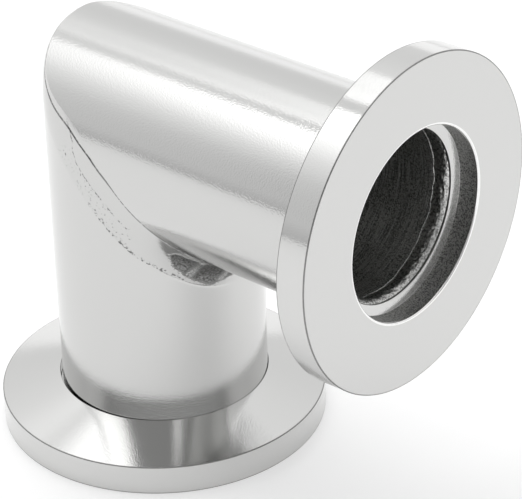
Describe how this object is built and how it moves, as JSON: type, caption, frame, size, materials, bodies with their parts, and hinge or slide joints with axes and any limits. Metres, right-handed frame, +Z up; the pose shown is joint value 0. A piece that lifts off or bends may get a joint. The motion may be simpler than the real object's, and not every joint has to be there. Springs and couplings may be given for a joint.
{
  "type": "mitered vacuum elbow",
  "caption": "Right-angle vacuum elbow: two mitered stainless tubes welded together, with a recessed clamp flange welded on each end.",
  "frame": {"origin": "centre of the base flange's sealing face", "axes": "the base leg runs up along +Z from its sealing face, which faces -Z; the side leg's axis is parallel to +X at the bend's height, and its sealing face faces +X"},
  "size_m": [0.0443, 0.0301, 0.0442],
  "materials": {
    "polished_tube": "polished stainless tube",
    "turned_flange": "fine turned stainless",
    "dressed_weld": "weld ground and polished by hand",
    "raw_weld": "undressed weld bead"
  },
  "bodies": {
    "root": {"base_flange": "turned_flange", "base_flange_weld": "raw_weld", "base_tube": "polished_tube", "miter_weld": "dressed_weld", "side_tube": "polished_tube", "side_flange_weld": "raw_weld", "side_flange": "turned_flange"}
  },
  "joints": []
}
